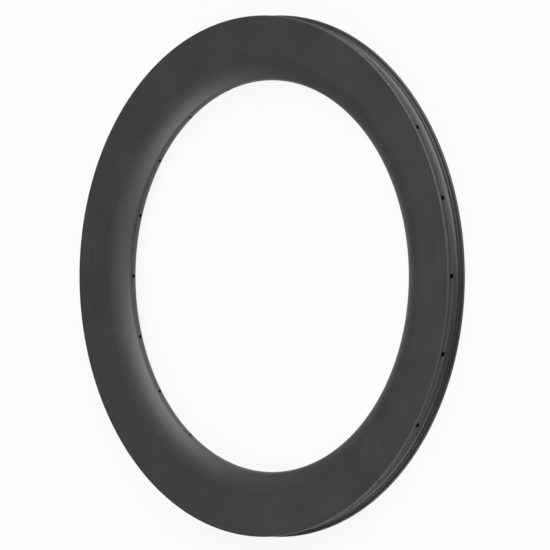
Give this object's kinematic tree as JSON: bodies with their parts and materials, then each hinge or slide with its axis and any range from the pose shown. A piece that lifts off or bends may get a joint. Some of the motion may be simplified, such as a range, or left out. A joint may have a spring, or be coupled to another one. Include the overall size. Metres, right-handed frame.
{
  "type": "bicycle rim",
  "caption": "Deep-section bicycle rim: a hollow moulded hoop with two flanges and a humped bed for the tyre, a rounded nose, and radial holes for the spokes and the valve.",
  "frame": {"origin": "centre of the rim, on its axle line and mid-plane", "axes": "+Z along the axle line, up as the rim lies on its side; +X towards the valve hole"},
  "size_m": [0.6329, 0.633, 0.03],
  "materials": {
    "carbon": "satin"
  },
  "bodies": {
    "root": {"rim": "carbon"}
  },
  "joints": []
}
